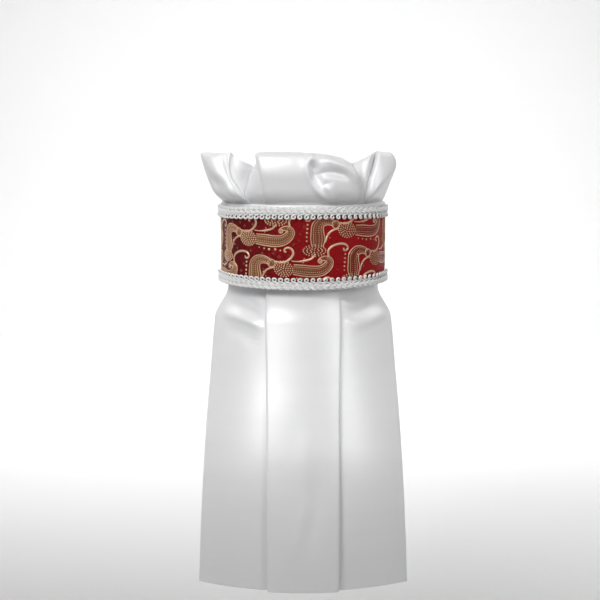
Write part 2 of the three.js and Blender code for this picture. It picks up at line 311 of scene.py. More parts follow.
def tube(path, across, radius):
    """Points and faces of a round cord along a path, from side vectors across it, with closed ends."""
    ahead = unit(np.gradient(path, axis=0))
    side = unit(across - (across * ahead).sum(1, keepdims=True) * ahead)
    other = np.cross(ahead, side)
    turns = 2 * math.pi * np.arange(CORD_RING) / CORD_RING + math.pi
    rings = path[:, None] + radius * (
        np.cos(turns)[None, :, None] * side[:, None] + np.sin(turns)[None, :, None] * other[:, None]
    )
    index = np.arange(len(path) * CORD_RING).reshape(len(path), CORD_RING)
    following = np.roll(index, -1, axis=1)
    faces = quads(index[:-1], following[:-1], following[1:], index[1:]).tolist()
    faces += [index[0, ::-1].tolist(), index[-1].tolist()]
    places = np.stack(np.broadcast_arrays(lengths_along(path), np.arange(CORD_RING) / CORD_RING), axis=-1)
    return rings.reshape(-1, 3), faces, places.reshape(-1, 2), radius / MM * np.cos(turns)


def settle(piece, material, replaces=()):
    """Gives a finished piece its material and its place in the frame."""
    piece.data.materials.clear()
    piece.data.materials.append(material)
    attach(piece, "root")
    if replaces:
        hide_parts(*replaces)
    return piece


# Materials


def set_inputs(node, values):
    for label, value in values.items():
        node.inputs[label].default_value = value


def new_material(name, values):
    """A material, its node tree and its shader's sockets, which hold the given values."""
    material = bpy.data.materials.new(name)
    material.use_nodes = True
    shader = material.node_tree.nodes["Principled BSDF"]
    set_inputs(shader, values)
    return material, material.node_tree, shader.inputs


def link(tree, source, target):
    tree.links.new(source, target)


def new_group(name, inputs, outputs):
    """A node group of plain numbers, with its inner sockets."""
    group = bpy.data.node_groups.new(name, "ShaderNodeTree")
    for label, value in inputs.items():
        socket = group.interface.new_socket(name=label, in_out="INPUT", socket_type="NodeSocketFloat")
        socket.default_value = value
    for label in outputs:
        group.interface.new_socket(name=label, in_out="OUTPUT", socket_type="NodeSocketFloat")
    return group, group.nodes.new("NodeGroupInput").outputs, group.nodes.new("NodeGroupOutput").inputs


def math_node(tree, operation, *values):
    node = tree.nodes.new("ShaderNodeMath")
    node.operation = operation
    for socket, value in zip(node.inputs, values):
        if isinstance(value, (int, float)):
            socket.default_value = value
        else:
            link(tree, value, socket)
    return node.outputs[0]


def cloth_places(tree):
    node = tree.nodes.new("ShaderNodeUVMap")
    node.uv_map = CLOTH_MAP
    return node.outputs["UV"]


def along_cloth(tree, places):
    node = tree.nodes.new("ShaderNodeSeparateXYZ")
    link(tree, places, node.inputs["Vector"])
    return node.outputs["X"]


def attribute(tree, name):
    node = tree.nodes.new("ShaderNodeAttribute")
    node.attribute_name = name
    return node.outputs["Fac"]


def texture(tree, kind, places, **values):
    node = tree.nodes.new("ShaderNodeTex" + kind)
    set_inputs(node, values)
    link(tree, places, node.inputs["Vector"])
    return node


def weave_group():
    """Fine threads that follow the cloth, with slubs, as a height and a soft mask."""
    name = "Satin Threads"
    if name in bpy.data.node_groups:
        return bpy.data.node_groups[name]
    group, given, result = new_group(name, {"Threads": 150, "Slubs": 9}, ("Height", "Mask"))
    cloth = cloth_places(group)
    stretch = group.nodes.new("ShaderNodeMapping")
    stretch.inputs["Scale"].default_value = (0.12, 1, 1)
    link(group, cloth, stretch.inputs["Vector"])
    slubs = texture(group, "Noise", stretch.outputs["Vector"], Detail=3)
    threads = texture(group, "Wave", cloth, Distortion=0.6)
    threads.bands_direction = "Y"
    link(group, given["Slubs"], slubs.inputs["Scale"])
    link(group, given["Threads"], threads.inputs["Scale"])
    low_threads = math_node(group, "MULTIPLY", threads.outputs["Fac"], 0.35)
    link(group, math_node(group, "ADD", low_threads, slubs.outputs["Fac"]), result["Height"])
    link(group, slubs.outputs["Fac"], result["Mask"])
    return group


def place_group(tree, group, **values):
    node = tree.nodes.new("ShaderNodeGroup")
    node.node_tree = group
    set_inputs(node, values)
    return node.outputs


def ramp(tree, level, stops, target):
    """Turns a level into a colour, by (level, colour) stops."""
    node = tree.nodes.new("ShaderNodeValToRGB")
    elements = node.color_ramp.elements
    for place, (position, tint) in enumerate((stops[0], stops[-1])):
        elements[place].position = position
        elements[place].color = tint
    for position, tint in stops[1:-1]:
        elements.new(position).color = tint
    link(tree, level, node.inputs["Fac"])
    link(tree, node.outputs["Color"], target)


def shade(rgb, amount=1.0):
    return (*(min(1.0, c * amount) for c in rgb), 1.0)


def grey(value):
    return (value, value, value, 1.0)


def bump(tree, height, target, strength, distance):
    node = tree.nodes.new("ShaderNodeBump")
    set_inputs(node, {"Strength": strength, "Distance": distance})
    link(tree, height, node.inputs["Height"])
    link(tree, node.outputs["Normal"], target)


def satin_material():
    name = "White Satin"
    if name in bpy.data.materials:
        return bpy.data.materials[name]
    values = {"Metallic": 0.12, "Specular IOR Level": 0.8, "Sheen Weight": 0.1, "Sheen Roughness": 0.4}
    material, tree, shader = new_material(name, values)
    threads = place_group(tree, weave_group())
    white = colours().satin
    ramp(tree, threads["Mask"], [(0.3, shade(white, 0.99)), (0.7, shade(white, 1.01))], shader["Base Color"])
    ramp(tree, threads["Mask"], [(0.3, grey(0.39)), (0.7, grey(0.43))], shader["Roughness"])
    bump(tree, threads["Height"], shader["Normal"], 0.06, 0.0003)
    return material


def cord_material():
    """Glossy twisted cord, whose twist runs along the cord's own map, with painted shade where the cord lies
    low and in the twist's grooves.
    """
    name = "Braid Cord"
    if name in bpy.data.materials:
        return bpy.data.materials[name]
    material, tree, shader = new_material(name, {"Roughness": 0.42, "Sheen Weight": 0.2})
    twist = texture(tree, "Wave", cloth_places(tree), Scale=1)
    twist.bands_direction = "DIAGONAL"
    # Painted shade: the depth attribute darkens the cord where it lies low, and the twist darkens its grooves
    # a little.
    level = math_node(tree, "MULTIPLY_ADD", twist.outputs["Fac"], 0.1, attribute(tree, "depth"))
    white = colours().braid
    stops = [(0.05, shade(white, 0.25)), (0.45, shade(white, 0.75)), (0.8, shade(white, 1.05))]
    ramp(tree, level, stops, shader["Base Color"])
    bump(tree, twist.outputs["Fac"], shader["Normal"], 0.5, 0.00015)
    return material


def brocade_material():
    """Crimson satin ground with a fine twill and a bloom of darker threads, with painted shade that darkens
    it to the left.
    """
    material, tree, shader = new_material("Brocade Ground", {"Specular IOR Level": 0.12})
    threads = place_group(tree, weave_group(), Threads=210, Slubs=14)
    cloth = cloth_places(tree)
    fleck = texture(tree, "Noise", cloth, Scale=55, Detail=2)
    # Painted shade: the level leans along the cloth, so the ground darkens to maroon towards its left end;
    # the noise adds darker flecks at random.
    level = math_node(tree, "MULTIPLY_ADD", along_cloth(tree, cloth), 0.6, fleck.outputs["Fac"])
    crimson = colours().crimson
    stops = [(0.25, shade(colours().shade_and_fleck_maroon)), (0.45, shade(crimson, 0.7)), (0.62, shade(crimson))]
    ramp(tree, level, stops, shader["Base Color"])
    ramp(tree, threads["Mask"], [(0.3, grey(0.48)), (0.7, grey(0.58))], shader["Roughness"])
    bump(tree, threads["Height"], shader["Normal"], 0.35, 0.0003)
    return material


def gold_material():
    """Woven gold thread. The piece's own tone runs from bronze fillings to pale outlines, and painted light
    makes it paler to the left and darker to the right.
    """
    material, tree, shader = new_material("Gold Weave", {"Metallic": 0.45, "Roughness": 0.38})
    cloth = cloth_places(tree)
    hatch = texture(tree, "Wave", cloth, Scale=40, Distortion=1.5)
    hatch.bands_direction = "DIAGONAL"
    # Painted light: a painted highlight to the left and painted shade to the right, along the cloth.
    painted_light_lean = math_node(tree, "MULTIPLY", along_cloth(tree, cloth), -0.38)
    lifted = math_node(tree, "MULTIPLY_ADD", hatch.outputs["Fac"], 0.2, painted_light_lean)
    level = math_node(tree, "ADD", attribute(tree, "tone"), lifted)
    gold = colours().gold
    stops = [
        (0.14, shade(colours().crimson, 0.7)), (0.34, shade(gold, 0.8)), (0.55, shade(gold, 1.3)),
        (0.95, shade(colours().pale_gold)),
    ]
    ramp(tree, level, stops, shader["Base Color"])
    bump(tree, hatch.outputs["Fac"], shader["Normal"], 0.4, 0.0002)
    return material


def tape_material():
    material, tree, shader = new_material("Hook And Loop Tape", {"Roughness": 0.9})
    places = tree.nodes.new("ShaderNodeTexCoord").outputs["Object"]
    fuzz = texture(tree, "Voronoi", places, Scale=1400).outputs["Distance"]
    white = colours().tape
    ramp(tree, fuzz, [(0.1, shade(white, 0.75)), (0.6, shade(white, 1.05))], shader["Base Color"])
    bump(tree, fuzz, shader["Normal"], 0.8, 0.0004)
    return material


# The collar, with the layers that lie on it and the room that it leaves behind itself

GAP = 0.3
COLLAR_TOP = 29.8
COLLAR_BOTTOM = -30
COLLAR_BACK_HALF = 22
BAND_TAPER = 1.0
COLLAR_ENDS = (-184, 196)
COLLAR_LAP = (120, 145)
ROOM_BEHIND = ((0, 4.3), (48, 4.3), (70, 1.6), (114, 1.6), (130, 0.4), (200, 0.4))
PADDING = ((0, 3), (79, 3), (84, 5), (96, 4.6), (130, 2.2), (200, 2.2))
TAPE_THICKNESS = 1.6
TAPE_ENDS = (156, 190)
TAPE_HALF = 17
BROCADE_REACH = 78
BROCADE_HALF = 26
BROCADE_THICKNESS = 1
BROCADE_GRID = (240, 60)
BRAID_REACH = 81.5
TAPER_EASE = (12, 60)
BACK_EASE = (88, 150)
PUCKER_DEPTH = 0.1
PUCKER_WAVES = (1.7, 0.6)
PUCKER_PARTS = (0.36, 0.47)
QUILT_DEPTH = 0.12
QUILT_WAVE = 0.19
COLLAR_GRID = (420, 24)
TAPE_GRID = (60, 20)
PADDING_SHOWS = (84, 92)
EDGE_ROWS = (0, 0.002, 0.006, 0.012, 0.02, 0.03)


def collar_inner(along):
    lap_step = float(eased(PADDING, half_round())) + TAPE_THICKNESS + 2 * GAP
    return eased(ROOM_BEHIND, along) + lap_step * smooth(along, *COLLAR_LAP)


def on_collar(along):
    """How far out the brocade's back lies."""
    return eased(ROOM_BEHIND, along) + PADDING[0][1] + GAP


def round_edge(parts, thickness, height):
    """Share of a pad's thickness at each part of its height, as a half round at both edges."""
    edge = np.minimum(parts, 1 - parts) * height / (thickness / 2)
    return np.where(edge < 1, np.sqrt(np.clip(1 - (1 - edge) ** 2, 0, 1)), 1)


def rounded_parts(middle_steps):
    """Parts of a height with close rows at both ends."""
    edge = np.array(EDGE_ROWS)
    return np.concatenate([edge, np.linspace(0.05, 0.95, middle_steps), 1 - edge[::-1]])


def tapered(along, height):
    """The band is a little narrower at the sides of the neck than in front."""
    return height - np.sign(height) * BAND_TAPER * smooth(np.abs(along), *TAPER_EASE)


def collar_edge(along, front_edge):
    """The height of the collar's upper or lower edge, from its height in front. Only the lower one tapers."""
    edge = tapered(along, front_edge) if front_edge < 0 else front_edge
    back = COLLAR_BACK_HALF * np.sign(front_edge)
    return edge + (back - edge) * smooth(np.abs(along), *BACK_EASE)


def make_collar():
    alongs = np.linspace(*COLLAR_ENDS, COLLAR_GRID[0])[:, None]
    parts = rounded_parts(COLLAR_GRID[1])[None, :]
    top, bottom = collar_edge(alongs, COLLAR_TOP), collar_edge(alongs, COLLAR_BOTTOM)
    heights = bottom + (top - bottom) * parts
    padding = eased(PADDING, alongs)
    full = round_edge(parts, padding, top - bottom)
    middle = collar_inner(alongs) + padding / 2
    wave, drift = PUCKER_WAVES
    puckers = PUCKER_DEPTH * np.sin(alongs * wave + np.sin(alongs * drift))
    puckers = puckers * smooth(np.abs(parts - 0.5), *PUCKER_PARTS)
    quilt = QUILT_DEPTH * np.sin(alongs * QUILT_WAVE) * np.sin(parts * math.pi)
    shown = smooth(np.abs(alongs), *PADDING_SHOWS)
    outer = middle + padding / 2 * full + (puckers + quilt) * shown * full
    inner = middle - padding / 2 * full
    piece = neck_wall("collar_satin", alongs, heights, inner, outer)
    settle(piece, satin_material(), ["collar"])


def collar_outer(along):
    return collar_inner(along) + eased(PADDING, along)


Stitch = namedtuple("Stitch", "along height turn")
STITCH_SPACING = 2.6
STITCH_INSET = 1.5
STITCH_LENGTH = 1.7
STITCH_HALF = 0.19
STITCH_ARCH = 0.12
STITCH_RING = 6
STITCH_STANDS = 0.02
STITCH_ANGLE = 70
# Rows of a stitch are (part of its length, share of its thickness).
STITCH_ROWS = ((-0.5, 0.25), (-0.36, 0.9), (0, 1), (0.36, 0.9), (0.5, 0.25))


def stitch_run(start, end):
    """Stitches from one (along, height) place to another."""
    start, end = np.asarray(start, float), np.asarray(end, float)
    count = max(1, round(float(np.linalg.norm(end - start)) / STITCH_SPACING))
    turn = math.atan2(end[1] - start[1], end[0] - start[0])
    return [Stitch(*(start + (end - start) * (k + 0.5) / count), turn) for k in range(count)]


def make_stitches(stitches):
    """Short round threads that lie on the collar's outer face."""
    points, faces = [], []
    turns = [2 * math.pi * k / STITCH_RING for k in range(STITCH_RING)]
    after = [(k + 1) % STITCH_RING for k in range(STITCH_RING)]
    for stitch in stitches:
        first = len(points)
        ahead, aside = math.cos(stitch.turn), math.sin(stitch.turn)
        for part, full in STITCH_ROWS:
            for turn in turns:
                side = STITCH_HALF * full * math.cos(turn)
                along = stitch.along + STITCH_LENGTH * part * ahead - side * aside
                height = stitch.height + STITCH_LENGTH * part * aside + side * ahead
                stands = float(collar_outer(stitch.along)) + STITCH_STANDS
                arch = STITCH_ARCH * (1 - (2 * part) ** 2)
                out = stands + arch + STITCH_HALF * full * math.sin(turn)
                points.append(on_neck(along, out, height))
        last = len(points) - STITCH_RING
        for row in range(first, last, STITCH_RING):
            above = row + STITCH_RING
            faces += [(row + k, above + k, above + j, row + j) for k, j in enumerate(after)]
        faces.append(tuple(range(first, first + STITCH_RING)))
        faces.append(tuple(range(last + STITCH_RING - 1, last - 1, -1)))
    piece = make_mesh("closure_stitches", points, faces, STITCH_ANGLE)
    add_cloth_map(piece, np.zeros((len(points), 2)))
    return piece


def make_closure():
    """The hook and loop tape between the collar's ends, and the stitches that hold it."""
    inner = float(eased(ROOM_BEHIND, half_round()) + eased(PADDING, half_round())) + GAP
    alongs = np.linspace(*TAPE_ENDS, TAPE_GRID[0])[:, None]
    parts = rounded_parts(TAPE_GRID[1])[None, :]
    heights = np.broadcast_to(TAPE_HALF * (2 * parts - 1), (alongs.size, parts.size))
    faces = [np.full(heights.shape, out) for out in (inner, inner + TAPE_THICKNESS)]
    piece = neck_wall("hook_and_loop_tape", alongs, heights, *faces)
    settle(piece, tape_material(), ["hook_and_loop_patch"])
    low, high = -TAPE_HALF + STITCH_INSET, TAPE_HALF - STITCH_INSET
    first, last = TAPE_ENDS[0] + STITCH_INSET, TAPE_ENDS[1] - STITCH_INSET
    corners = [(first, low), (last, low), (last, high), (first, high)]
    runs = zip(corners, corners[1:] + corners[:1])
    stitches = [stitch for start, end in runs for stitch in stitch_run(start, end)]
    thread = make_stitches(stitches)
    settle(thread, satin_material())


# The frill

# One fold of the frill, from its length along the neck behind the collar (root) to the height of its rim.
# Between them are its places (side, depth) seen from above at each level, brim a little under the rim.
Fold = namedtuple("Fold", "name root lip low middle high brim top rim")
FRILL_LEVELS = {"tuck": 20, "root": 29, "lip": 30.3, "low": 37, "middle": 45, "high": 53}
BRIM_DROP = 4
FRILL_ROOT_OUT = 0.9
LIP_SET_BACK = 0.24
FRILL_STEPS = 3.2
FREE_HEIGHT = (31, 35)
FREE_DEPTH = (48, 54)
RIPPLE_DEPTH = 0.12
RIPPLE_WAVES = (0.9, 0.35)
RIPPLE_HEIGHT = (56, 66)
LEAST_STEP = 0.5
FRILL_FOLDS = [
    Fold("left hem", -112, (-50, 29), (-53.5, 31), (-55.5, 31.5), (-57, 32.5), (-58, 33), (-58, 33), 60),
    Fold("left back", -98, (-57.5, 13.5), (-61.5, 12.5), (-66, 10), (-69, 8), (-71, 6), (-71, 6), 62.5),
    Fold("left turn", -83, (-59.4, -8), (-63.8, -16), (-67.4, -20), (-70, -24), (-72.4, -25), (-73.2, -25),
         65),
    Fold("left belly", -68, (-55, -28), (-62, -33), (-66, -32), (-69.4, -30), (-71.8, -29.5), (-72.4, -28),
         65.6),
    Fold("left foot", -59, (-47.5, -38), (-56.4, -38.6), (-60.8, -37), (-67.6, -35), (-70.6, -33),
         (-71, -30), 65.8),
    Fold("left ridge", -51, (-42.5, -44.5), (-51, -48.4), (-56, -46.6), (-62.8, -43), (-66, -38.5),
         (-66.5, -34.5), 66),
    Fold("left face", -47, (-38.5, -46.5), (-45.6, -50), (-51.2, -48.6), (-55.4, -45.8), (-59, -41.6),
         (-59.4, -38.6), 65.6),
    Fold("left groove", -45.5, (-37, -47), (-44.2, -49.4), (-50, -47.4), (-53.6, -44.4), (-54.6, -41.8),
         (-53.6, -40), 65.8),
    Fold("left edge", -44, (-36, -47.6), (-43.2, -49.2), (-49, -47.8), (-52.4, -45.4), (-52.4, -43),
         (-51.2, -41), 66),
    Fold("left under", -43, (-36.5, -45.2), (-43, -46.8), (-48.2, -45.2), (-51.4, -43), (-51.2, -41.8),
         (-50.2, -40.6), 65.2),
    Fold("inner left", -42, (-37.5, -43.6), (-42.6, -45), (-46.6, -43.8), (-48.8, -42.6), (-49.4, -41.4),
         (-48.8, -40), 64),
    Fold("inner ridge", -40.5, (-38.2, -43.2), (-41.8, -44.2), (-43.2, -43.6), (-44, -43.2), (-45, -42.2),
         (-46, -41.2), 62),
    Fold("inner right", -39.5, (-38, -42.4), (-41, -43), (-40.6, -42.6), (-39.6, -42.6), (-39.8, -42.4),
         (-40.4, -42), 59),
    Fold("left crease", -38.5, (-37.6, -42.2), (-40, -42.2), (-38.2, -41), (-36, -41), (-34.8, -41.4),
         (-34.2, -42), 56.6),
    Fold("return edge", -37, (-37, -47), (-40.2, -47.6), (-37.4, -49.8), (-34.6, -50.2), (-33.8, -49.4),
         (-33.6, -48.6), 57),
    Fold("return face", -34, (-32, -50.4), (-34, -53.4), (-32.8, -54.8), (-32, -54.4), (-32.6, -52.6),
         (-33, -51), 59),
    Fold("centre under", -30.5, (-26.6, -53), (-26.8, -56.6), (-27.4, -57.8), (-28.6, -57.4), (-30.6, -55),
         (-31.4, -53), 62),
    Fold("centre edge", -29, (-26.6, -54), (-28, -58.4), (-29, -60), (-30.4, -60.4), (-32.4, -57.4),
         (-33.2, -54.5), 64.6),
    Fold("centre turn", -26, (-24, -55.2), (-25.2, -60.2), (-25.8, -62.2), (-27.2, -62.8), (-29.4, -60),
         (-30.4, -55.5), 66.2),
    Fold("centre one", -14, (-13.5, -57.2), (-14, -61.6), (-14, -63.6), (-14, -64.4), (-14.5, -61.8),
         (-15, -57.4), 66.6),
    Fold("centre two", 0, (0, -58), (0, -61.8), (0, -63.8), (0, -64.6), (0, -62.2), (0, -57.8), 66.2),
    Fold("centre three", 10, (10.2, -57.5), (10, -61.6), (9.5, -63.6), (9, -64.2), (9, -62), (9, -57.8),
         65.6),
    Fold("centre four", 20, (20, -56), (20, -60.8), (19, -62.8), (18, -63.4), (17.5, -61.4), (17.5, -57.6),
         64.6),
    Fold("centre five", 30, (30.2, -52.2), (30.4, -57.4), (29, -59.6), (27.8, -60.4), (26.6, -59),
         (26, -56), 62.8),
    Fold("centre right", 38, (37.4, -48), (38.4, -52), (37.2, -54.2), (35.6, -55), (33.8, -54.4),
         (32.8, -53), 59.2),
    Fold("right under", 39, (37.6, -45.4), (38.4, -48.6), (37.2, -50), (35.8, -50.4), (34.2, -50),
         (33.4, -49.4), 58.4),
    Fold("right hollow", 40, (38.6, -44.2), (38.4, -46.4), (37.6, -47), (36.6, -47), (35.6, -46.6),
         (35.2, -46), 59),
    Fold("right face", 42, (40.4, -43.6), (41, -46), (41.2, -46.4), (41.2, -46), (41.8, -44.4), (43, -42),
         62),
    Fold("right crest", 44, (41.6, -43), (42.6, -45.8), (43.8, -46.6), (45, -46), (47, -43.6),
         (48.6, -40.8), 65),
    Fold("right pocket", 46, (42.4, -42.2), (43.8, -44.8), (45.4, -43.8), (48, -40), (50.6, -35.6),
         (52, -32.6), 66.8),
    Fold("right crease", 48, (43.2, -42.2), (45, -46.4), (47.6, -47.4), (50.6, -45.6), (53.4, -41.6),
         (55, -38), 66.6),
    Fold("right panel", 50, (44.2, -42.4), (47.4, -47.8), (51.4, -47.8), (56.8, -43.6), (59.2, -38.4),
         (59.4, -34.4), 66),
    Fold("right ridge", 53, (46, -41), (49.8, -47), (55.8, -45.6), (62.6, -38.6), (64, -34), (62.8, -31),
         65.6),
    Fold("right shade", 64, (50.5, -33.2), (54, -38), (59.2, -37.4), (64.6, -33), (66, -29.5), (65.4, -28),
         62.5),
    Fold("right turn", 83, (59, -4), (60.4, -13), (63, -18.5), (65.6, -23), (66.4, -24), (64.8, -24), 62.6),
    Fold("right back", 98, (57.5, 13.5), (60, 13), (63, 11), (65, 10), (66, 9), (66, 9), 60.5),
    Fold("right hem", 112, (50, 29), (53, 30.5), (55, 31), (56, 32), (57, 32), (57, 32), 59),
]

# A ridge, or a hollow where its rise is negative, along a route of (side, height) places.
Line = namedtuple("Line", "name rise reach fade route")
FRILL_LINES = [
    Line("dent", -5.0, 3.3, 0.3, [(9, 61), (7.6, 57.6), (7.8, 53), (8.8, 49), (11.4, 45.8), (15, 44.8)]),
    Line("dent arc", -2.8, 2.8, 0.3, [(6.6, 47.4), (10.5, 51), (15, 52.4), (21, 52.6), (28, 50.8),
         (33.4, 46)]),
    Line("left rim", 2.0, 2.0, 0.2, [(12, 63), (6, 62.4), (2.8, 58.4), (3, 54), (5.2, 48), (9.4, 41.4),
         (15, 35.6), (22.3, 31)]),
    Line("upper roll", 1.9, 2.4, 0.3, [(12, 62), (17, 60.5), (23.5, 58), (31, 54.4), (35.5, 48), (37, 40)]),
    Line("heel", 3.4, 2.8, 0.3, [(17, 45), (18.4, 41.6), (20, 37.6), (21.8, 33)]),
    Line("right edge roll", 0.9, 1.6, 0.15, [(32.6, 58), (34.6, 53), (36.4, 45), (37.4, 38), (37, 32)]),
]


def frill_grid(rows):
    """The frill's middle surface, as (side, depth, height) down each of its close columns."""
    at_level = np.concatenate([[0, 0.5], np.linspace(1, 7, rows)])
    stacked = []
    for fold in FRILL_FOLDS:
        root = on_neck(fold.root, FRILL_ROOT_OUT, 0)[:2] / MM
        lip = np.array(fold.lip) + LIP_SET_BACK * (root - fold.lip)
        places = [root, root, lip, fold.low, fold.middle, fold.high, fold.brim, fold.top]
        heights = np.array([*FRILL_LEVELS.values(), fold.rim - BRIM_DROP, fold.rim])
        heights[1:3] += collar_edge(fold.root, COLLAR_TOP) - COLLAR_TOP
        stacked.append(curve_through(np.arange(8), np.column_stack([places, heights]), at_level))
    stacked = np.array(stacked)
    steps = np.linalg.norm(np.diff(stacked[:, rows // 2, :2], axis=0), axis=1)
    knots = running(np.sqrt(np.maximum(steps, LEAST_STEP)))
    at_fold = spaced(knots, [max(3, math.ceil(FRILL_STEPS * math.sqrt(step))) for step in steps])
    flat = curve_through(knots, stacked.reshape(len(FRILL_FOLDS), -1), at_fold)
    return flat.reshape(len(at_fold), len(at_level), 3)


def make_frill():
    grid = frill_grid(sizes().frill_rows)
    side, height = grid[..., 0], grid[..., 2]
    free = smooth(height, *FREE_HEIGHT) * smooth(-grid[..., 1], *FREE_DEPTH)
    across, up = RIPPLE_WAVES
    ripple = RIPPLE_DEPTH * np.sin(side * across + height * up) * smooth(height, *RIPPLE_HEIGHT)
    lift = pressed(FRILL_LINES, side, height) * free + ripple
    middle = (grid + grid_normals(grid) * lift[..., None]) * MM
    run = lengths_along(middle[:, middle.shape[1] // 2])
    piece = satin_wall("frill_satin", middle, np.stack(np.broadcast_arrays(run, height), axis=-1))
    settle(piece, satin_material(), ["frill"])


# The bib

# The bib at one height: how far it hangs forward of the neck's axis, its half width and its centre
# panel's, how far its sides fall back, and the spacing of its folded layers.
Drop = namedtuple("Drop", "height forward half_width panel fall_back layers")
BIB_DROP = [
    Drop(-239, 84.6, 74, 24, 22, 1.9),
    Drop(-210, 90.2, 72.5, 24, 22, 1.9),
    Drop(-180, 92, 71, 24, 23, 1.9),
    Drop(-150, 87.8, 69.5, 24, 24, 1.9),
    Drop(-120, 77.8, 68, 24.2, 26, 1.9),
    Drop(-90, 66.5, 66, 24.7, 29, 1.9),
    Drop(-60, 57.1, 64, 25.5, 34, 1.8),
    Drop(-44, 53.4, 62.5, 26, 39, 1.6),
    Drop(-31.5, 52.4, 60, 26.5, 42, 1.3),
]
BIB_TUCK = -20
BIB_EDGE = -31.5
BIB_HEM = -239
BIB_SPILL = 22
BIB_RISE = 0.9
BIB_PANEL_CLOTH = 25
BIB_HALF_CLOTH = 78
PLEAT_DEPTH = 13.5
# How far apart two folded layers count, and how many steps there are for a length along the bib.
LAYER_SPACING = 1.8
BIB_STEPS = (1.5, 0.28)
# Below this height the bib's rows are wide apart, and from the next one up they are close.
BIB_WIDE_TOP = -75
BIB_CLOSE_ROWS = np.linspace(-74, BIB_TUCK, 72)

BIB_LINES = [
    Line("left tuck", -1.5, 2.2, 0.3, [(-54, -31), (-42, -31.5), (-31, -34), (-25, -39)]),
    Line("left knuckle", 1.3, 2.8, 0.35, [(-44, -35), (-35, -37.5), (-28, -43)]),
    Line("left swag", 1.4, 3.2, 0.25, [(-72, -49), (-56, -50), (-40, -53), (-26, -58.5)]),
    Line("left hollow", -1.1, 3.2, 0.25, [(-72, -42), (-56, -43), (-40, -46.5), (-28, -51)]),
    Line("left soft fold", -0.8, 5, 0.3, [(-66, -60), (-48, -62), (-30, -68)]),
    Line("right tuck", -2.0, 2.2, 0.3, [(26, -32.5), (34, -36.5), (42, -34), (52, -30)]),
    Line("right swag", 2.4, 2.8, 0.25, [(25, -37), (34, -41), (43, -38), (54, -33), (66, -32)]),
    Line("right hollow", -1.2, 3.4, 0.3, [(28, -45), (42, -47), (56, -43), (70, -40)]),
    Line("right soft fold", 1.2, 4.5, 0.25, [(28, -53), (44, -55), (60, -51), (74, -47)]),
]
PANEL_LINES = [
    Line("upper panel roll", 0.7, 7, 0.4, [(7, -118), (4.5, -131), (0, -150), (-3, -166)]),
    Line("panel hollow", -1.1, 7, 0.4, [(13, -140), (10, -165), (5, -190), (1, -214)]),
    Line("lower panel roll", 0.8, 6, 0.4, [(2, -168), (1, -178), (-5, -202), (-8, -216)]),
]


def crease_path():
    """Half of the bib's box pleat from its middle out to the free edge, as (along, layer) rows."""
    bends = [
        (0, 2), (8, 2), (16, 2), (22, 2), (24.2, 1.97), (25, 1.75), (25.2, 1.5), (25, 1.25), (24.2, 1.03),
        (22, 1), (17, 1), (13.2, 1), (12, 0.96), (11.3, 0.75), (11.1, 0.5), (11.3, 0.25), (12, 0.04),
        (PLEAT_DEPTH, 0), (20, 0), (27, 0), (36, 0), (45, 0), (54, 0), (62, 0), (70, 0), (BIB_HALF_CLOTH, 0),
    ]
    return np.array(bends, float)


def bib_places():
    """(along, layer) at each column across the whole bib."""
    half = crease_path()
    whole = np.concatenate([half[:0:-1] * (-1, 1), half])
    steps = np.hypot(np.diff(whole[:, 0]), LAYER_SPACING * np.diff(whole[:, 1]))
    knots = running(np.sqrt(steps))
    short, long = BIB_STEPS
    at = spaced(knots, [max(2, math.ceil(short * math.sqrt(step) + long * step)) for step in steps])
    places = curve_through(knots, whole, at)
    places[:, 1] = np.clip(places[:, 1], 0, 2)
    return places


def bib_middle(along, layer, height):
    """The bib's middle surface, in metres."""
    shown = np.clip(height, BIB_HEM, BIB_EDGE)
    rows = curve_through([drop.height for drop in BIB_DROP], [drop[1:] for drop in BIB_DROP], shown)
    forward, half_width, panel, fall_back, layers = rows.T[:, None, :]
    standing = BIB_RISE + layers * layer
    tucked = on_neck(along, standing, height)
    radius = (half_width**2 + fall_back**2) / (2 * fall_back)
    side = (radius * np.arcsin(half_width / radius) - panel) / (BIB_HALF_CLOTH - BIB_PANEL_CLOTH)
    inside = np.minimum(np.abs(along), BIB_PANEL_CLOTH)
    reach = inside * panel / BIB_PANEL_CLOTH + (np.abs(along) - inside) * side
    turn = np.sign(along) * reach / radius
    wide, tall, _ = np.broadcast_arrays(along, height, standing)
    pressing = pressed(BIB_LINES, wide, tall) * np.clip(1 - layer, 0, 1)
    out = standing + pressing + pressed(PANEL_LINES, wide, tall) * np.clip(layer - 1, 0, 1)
    hanging = MM * np.stack(
        [(radius + out) * np.sin(turn), radius - forward - (radius + out) * np.cos(turn), tall], axis=-1
    )
    share = smooth(BIB_EDGE - tall, 0, BIB_SPILL)[..., None]
    return tucked + (hanging - tucked) * share


def make_bib():
    rows = bib_places()
    height = np.concatenate([np.linspace(BIB_HEM, BIB_WIDE_TOP, sizes().bib_rows // 2), BIB_CLOSE_ROWS])
    middle = bib_middle(rows[:, :1], rows[:, 1:], height)
    places = np.stack(np.broadcast_arrays(lengths_along(middle[:, 0]), height), axis=-1)
    piece = satin_wall("bib_satin", middle, places)
    settle(piece, satin_material(), ["bib"])


# The braid

PLAIT_STEPS = 22
PLAIT_LENGTH = 11.8
PLAIT_STRANDS = 3
PLAIT_SWING = 1.55
PLAIT_LIFT = 0.65
PLAIT_YARNS = (-0.42, 0.42)
PLAIT_YARN_RADIUS = 0.5
PLAIT_MIDDLE = 2.6
LOOP_STEPS = 22
LOOP_HALF_WIDTH = 1.9
LOOP_HALF_HEIGHT = 1.5
LOOP_LIFT = 0.6
LOOP_TUCK = 0.5
LOOP_MIDDLE = 6.7
BRAID_STANDS = 1.3
# How far out a point of the braid stands from its middle, from where its painted shade is darkest to where it
# ends.
BRAID_SHADE_DEPTHS = (-0.8, 0.5)
